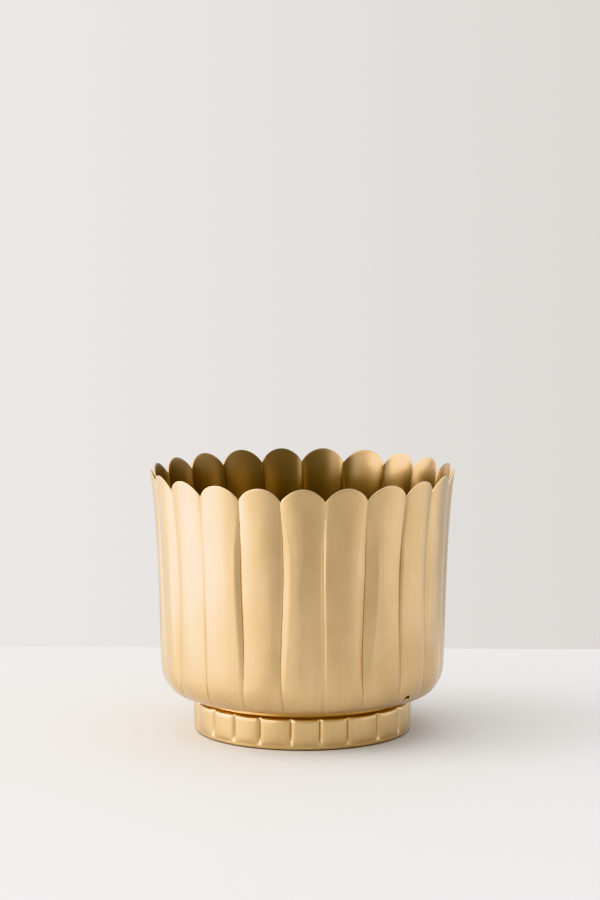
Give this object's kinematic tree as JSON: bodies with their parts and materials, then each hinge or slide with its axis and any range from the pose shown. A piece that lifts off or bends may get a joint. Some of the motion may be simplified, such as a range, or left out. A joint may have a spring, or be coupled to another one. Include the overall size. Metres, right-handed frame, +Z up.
{
  "type": "fluted metal planter pot",
  "caption": "Round sheet-metal planter pot with upright flutes, a scalloped rim, a rounded shoulder and a fluted foot ring brazed beneath.",
  "frame": {"origin": "on the pot's axis, at the height of the face that it rests on", "axes": "+Z up along the pot's axis, -Y towards the front, where one flute faces straight forward, +X to the right"},
  "size_m": [0.2004, 0.2001, 0.1756],
  "materials": {
    "satin_brass": "satin, clear lacquered, faint upright burnishing and darker creases",
    "foot_brass": "satin, clear lacquered",
    "braze_filler": "darkened filler metal"
  },
  "bodies": {
    "root": {"bowl": "satin_brass", "foot_ring": "foot_brass", "braze_joint": "braze_filler"}
  },
  "joints": []
}
